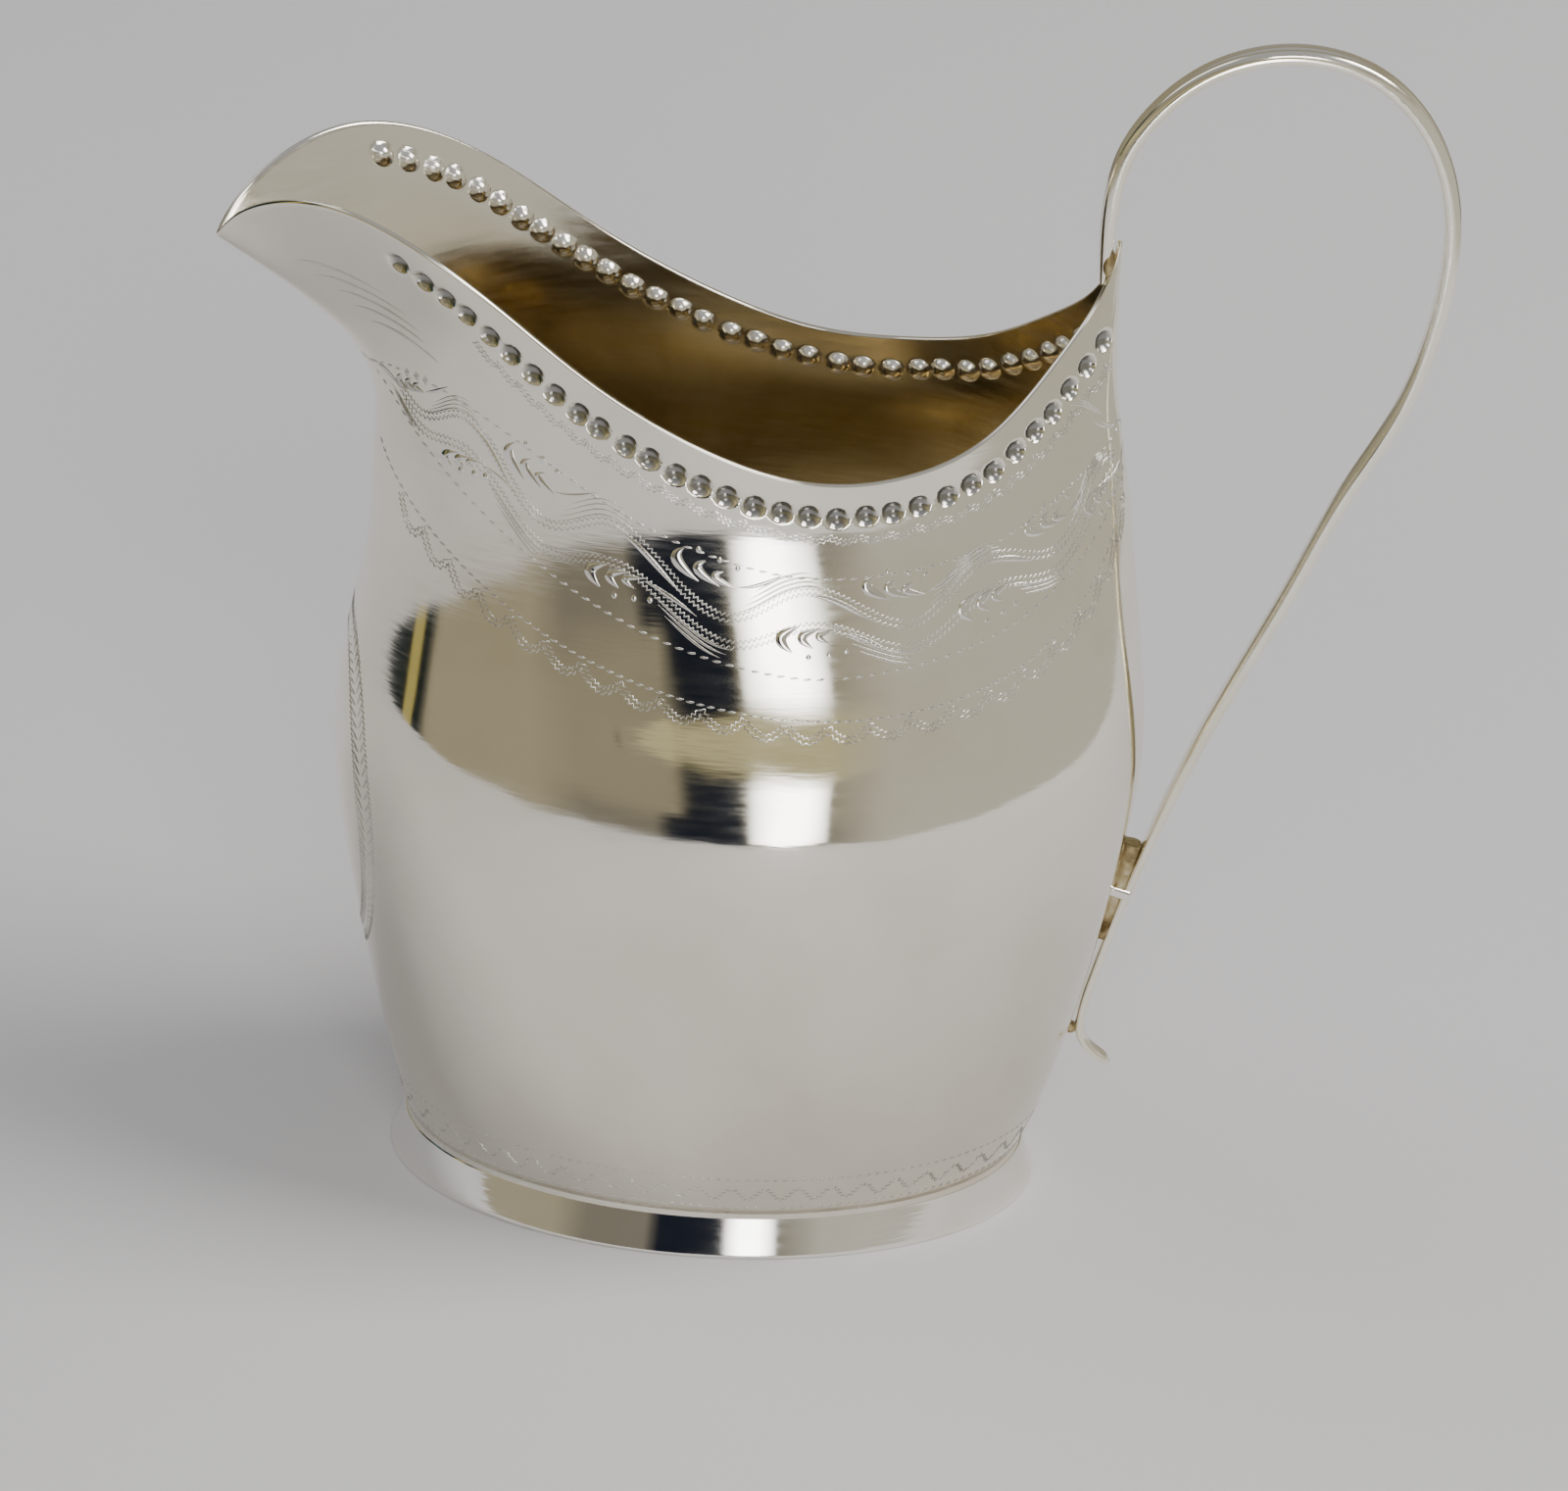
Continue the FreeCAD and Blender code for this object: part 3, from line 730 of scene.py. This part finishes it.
def solder_material():
    """Rough solder, brown in patches."""
    n = Nodes("joint_solder")
    n.shader.inputs["Metallic"].default_value = 1.0
    clouds = n.noise(420.0, 4.0, 0.6)
    n.feed(n.shader.inputs["Base Color"], n.ramp(
        clouds, (0.32, (0.13, 0.085, 0.035)), (0.52, (0.46, 0.37, 0.20)), (0.72, (0.72, 0.67, 0.50))))
    n.feed(n.shader.inputs["Roughness"], n.span(clouds, 0.3, 0.7, 0.55, 0.25))
    n.feed(n.shader.inputs["Normal"], n.bump(n.noise(1500.0, 3.0, 0.6), 0.5, 0.0001))
    return n.material


def cloth_material():
    n = Nodes("pale_floor")
    shade = n.ramp(n.noise(3.0, 2.0, 0.5), (0.3, (0.61, 0.60, 0.61)), (0.7, (0.67, 0.66, 0.655)))
    n.feed(n.shader.inputs["Base Color"], shade)
    n.feed(n.shader.inputs["Roughness"], n.span(n.noise(900.0, 2.0, 0.5), 0.3, 0.7, 0.8, 0.9))
    n.feed(n.shader.inputs["Normal"], n.bump(n.noise(1400.0, 2.0, 0.5), 0.12, 0.0002))
    return n.material


# ---------------------------------------------------------------- stage
def reflected_card(name, radius, sweep, rise, colour, strength, soft, soft_rise):
    """A glowing upright screen round the jug that only reflections see.

    radius and rise are metres and sweep is degrees from -Y towards +X. soft and soft_rise are
    how far its sides, in degrees, and its top, in metres, fade out. soft 0 leaves hard sides.
    """
    width, tall = sweep[1] - sweep[0], rise[1] - rise[0]
    steps, levels = max(int(width / 2.0), 12), 10
    across, upward = np.meshgrid(
        np.linspace(0.0, 1.0, steps + 1), np.linspace(0.0, 1.0, levels + 1))
    turn = np.radians(sweep[0] + width * across)
    points = np.stack([radius * np.sin(turn), -radius * np.cos(turn), rise[0] + tall * upward], -1)
    n = steps + 1
    corners = [row * n + i for row in range(levels) for i in range(steps)]
    faces = [(a, a + 1, a + n + 1, a + n) for a in corners]
    mesh = bpy.data.meshes.new(name)
    mesh.from_pydata(points.reshape(-1, 3).tolist(), [], faces)
    side = np.minimum(across, 1.0 - across) * width
    head = (1.0 - upward) * tall
    veil = np.clip(side / soft, 0.0, 1.0) if soft else np.ones_like(side)
    veil = veil * np.clip(head / soft_rise, 0.0, 1.0)
    layer = mesh.attributes.new("veil", "FLOAT", "POINT")
    layer.data.foreach_set("value", veil.ravel().astype(np.float32))
    card = bpy.data.objects.new(name, mesh)
    bpy.context.scene.collection.objects.link(card)
    material = bpy.data.materials.new(name)
    material.use_nodes = True
    tree = material.node_tree
    tree.nodes.clear()
    glow = tree.nodes.new("ShaderNodeEmission")
    glow.inputs["Color"].default_value = (*colour, 1.0)
    glow.inputs["Strength"].default_value = strength
    output = tree.nodes.new("ShaderNodeOutputMaterial")
    clear = tree.nodes.new("ShaderNodeBsdfTransparent")
    shown = tree.nodes.new("ShaderNodeAttribute")
    shown.attribute_name = "veil"
    blend = tree.nodes.new("ShaderNodeMixShader")
    tree.links.new(shown.outputs["Fac"], blend.inputs[0])
    tree.links.new(clear.outputs[0], blend.inputs[1])
    tree.links.new(glow.outputs[0], blend.inputs[2])
    tree.links.new(blend.outputs[0], output.inputs["Surface"])
    mesh.materials.append(material)
    card.visible_camera = False
    card.visible_diffuse = False
    card.visible_shadow = False


def make_stage():
    """The pale floor, three soft lights, the mirrored room and the sky behind it."""
    bpy.ops.mesh.primitive_circle_add(vertices=128, radius=3.0, fill_type="NGON")
    floor = bpy.context.object
    floor.name = "floor"
    floor.data.materials.append(cloth_material())

    def softbox(name, place, size, power, colour):
        light = bpy.data.lights.new(name, "AREA")
        light.shape = "RECTANGLE"
        light.size, light.size_y = size
        light.energy = power
        light.color = colour
        lamp = bpy.data.objects.new(name, light)
        lamp.location = place
        aim = Vector((0.0, 0.0, 0.05)) - Vector(place)
        lamp.rotation_euler = aim.to_track_quat("-Z", "Y").to_euler()
        bpy.context.scene.collection.objects.link(lamp)

    softbox("key_light", (0.75, -0.10, 1.0), (0.6, 0.6), 12.0, (1.0, 0.98, 0.95))
    softbox("fill_light", (-1.2, 0.3, 1.3), (1.2, 1.2), 6.0, (0.93, 0.95, 1.0))
    softbox("front_light", (0.10, -1.2, 0.9), (0.5, 0.4), 5.0, (1.0, 1.0, 1.0))

    # what the polished metal mirrors beyond the table: a dim warm room with one bright window
    room = (
        ("room_wall", 0.285, (-180.0, 180.0), (0.0, 0.34), (0.30, 0.27, 0.19), 1.0, 0.0, 0.12),
        ("wall_band", 0.283, (-90.0, 50.0), (0.100, 0.17), (0.56, 0.50, 0.29), 1.0, 25.0, 0.02),
        ("room_low", 0.280, (-180.0, 180.0), (0.0, 0.050), (0.20, 0.18, 0.14), 1.0, 0.0, 0.03),
        ("pale_wall_left", 0.277, (-76.0, -28.0), (0.0, 0.12), (0.36, 0.32, 0.22), 1.0, 10.0, 0.05),
        ("pale_wall_right", 0.277, (15.0, 140.0), (0.0, 0.24), (0.56, 0.53, 0.45), 1.0, 12.0, 0.06),
        ("doorway_left", 0.275, (-112.0, -68.0), (0.0, 0.26), (0.014, 0.020, 0.020), 1.0, 3.0, 0.03),
        ("doorway_glass", 0.274, (-98.0, -90.0), (0.02, 0.20), (0.05, 0.13, 0.13), 1.0, 1.5, 0.02),
        ("doorway_edge", 0.274, (-80.0, -74.0), (0.0, 0.17), (0.44, 0.37, 0.12), 1.0, 1.0, 0.02),
        ("cabinet_left", 0.273, (-29.0, -18.0), (0.095, 0.150), (0.60, 0.55, 0.34), 1.0, 1.0, 0.006),
        ("cabinet_bar_1", 0.272, (-29.0, -27.6), (0.092, 0.152), (0.06, 0.05, 0.03), 1.0, 0.4, 0.004),
        ("cabinet_bar_2", 0.272, (-25.0, -23.8), (0.092, 0.152), (0.06, 0.05, 0.03), 1.0, 0.4, 0.004),
        ("cabinet_bar_3", 0.272, (-20.0, -18.6), (0.092, 0.152), (0.06, 0.05, 0.03), 1.0, 0.4, 0.004),
        ("dark_figure", 0.271, (-10.0, 4.5), (0.0, 0.108), (0.012, 0.015, 0.024), 1.0, 2.5, 0.01),
        ("dark_figure_low", 0.270, (-14.0, 4.0), (0.0, 0.045), (0.012, 0.015, 0.024), 1.0, 2.5, 0.01),
        ("window", 0.269, (3.5, 16.5), (0.006, 0.106), (1.0, 1.0, 1.0), 9.0, 4.5, 0.02),
    )
    for card in room:
        reflected_card(*card)

    world = bpy.data.worlds.new("soft_room")
    bpy.context.scene.world = world
    world.use_nodes = True
    tree = world.node_tree
    background = tree.nodes["Background"]
    direction = tree.nodes.new("ShaderNodeTexCoord").outputs["Generated"]
    split = tree.nodes.new("ShaderNodeSeparateXYZ")
    tree.links.new(direction, split.inputs[0])
    height = tree.nodes.new("ShaderNodeValToRGB")
    tree.links.new(split.outputs["Z"], height.inputs["Fac"])
    set_stops(height, (
        (0.0, (0.10, 0.09, 0.075)), (0.12, (0.36, 0.33, 0.26)),
        (0.4, (0.62, 0.61, 0.60)), (1.0, (0.75, 0.76, 0.80))))
    tree.links.new(height.outputs["Color"], background.inputs["Color"])
    background.inputs["Strength"].default_value = 0.53


# ---------------------------------------------------------------- camera
def make_camera():
    """The viewpoint, as an azimuth, elevation and roll in degrees and distances in mm."""
    azimuth, elevation, roll = np.radians((1.5003, 29.002, 3.8918))
    distance, across, above = 1206.67, -4.592, -41.488
    sa, ca, se, ce = math.sin(azimuth), math.cos(azimuth), math.sin(elevation), math.cos(elevation)
    right, up = Vector((ca, -sa, 0.0)), Vector((sa * se, ca * se, ce))
    ahead = Vector((sa * ce, ca * ce, -se))
    place = -(right * across + up * above + ahead * distance) * MM
    turned_right = right * math.cos(roll) + up * math.sin(roll)
    turned_up = up * math.cos(roll) - right * math.sin(roll)
    camera = bpy.data.cameras.new("camera")
    camera.sensor_width = 36.0
    camera.lens = 271.5
    camera.clip_start, camera.clip_end = 0.01, 20.0
    holder = bpy.data.objects.new("camera", camera)
    axes = Matrix((turned_right, turned_up, -ahead)).transposed()
    holder.matrix_world = Matrix.Translation(place) @ axes.to_4x4()
    bpy.context.scene.collection.objects.link(holder)
    bpy.context.scene.camera = holder


# ---------------------------------------------------------------- the scene
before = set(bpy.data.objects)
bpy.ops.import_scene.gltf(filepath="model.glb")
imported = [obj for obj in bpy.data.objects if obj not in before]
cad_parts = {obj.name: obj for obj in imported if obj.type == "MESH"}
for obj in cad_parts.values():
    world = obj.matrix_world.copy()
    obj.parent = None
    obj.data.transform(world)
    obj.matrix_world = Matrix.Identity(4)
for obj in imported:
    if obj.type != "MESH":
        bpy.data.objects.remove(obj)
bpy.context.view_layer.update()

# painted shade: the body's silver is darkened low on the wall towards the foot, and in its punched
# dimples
polished = silver_material(
    "polished_silver", (0.90, 0.865, 0.775), (0.68, 0.62, 0.49), 0.05, 0.12, wave=0.6, low_shade=0.42)
cut_silver = silver_material(
    "cut_silver", (0.84, 0.82, 0.78), (0.34, 0.31, 0.26), 0.07, 0.16, wave=0.0, tarnish=0.8)
foot_silver = silver_material(
    "foot_silver", (0.93, 0.91, 0.87), (0.74, 0.68, 0.56), 0.03, 0.09, wave=0.25)
strap_silver = silver_material(
    "strap_silver", (0.98, 0.95, 0.84), (0.66, 0.57, 0.38), 0.10, 0.22, wave=0.5)
base_silver = silver_material("base_silver", (0.84, 0.80, 0.72), (0.50, 0.40, 0.26), 0.25, 0.4)
inside_silver = interior_material()
solder = solder_material()

build_body(polished, inside_silver)
engrave_borders(cut_silver)
engrave_vine(cut_silver)
engrave_base(cut_silver)
engrave_cartouche(cut_silver)
build_foot(foot_silver)
build_handle(strap_silver)

finishes = {
    "base_plate": base_silver,
    "handle_saddle": foot_silver,
    "base_seam_solder": solder,
    "foot_seam_solder": solder,
    "peak_solder": solder,
    "tail_solder": solder,
    "saddle_solder_upper": solder,
    "saddle_solder_lower": solder,
}
for node, finish in finishes.items():
    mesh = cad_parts[node].data
    mesh.materials.clear()
    mesh.materials.append(finish)

make_stage()
make_camera()
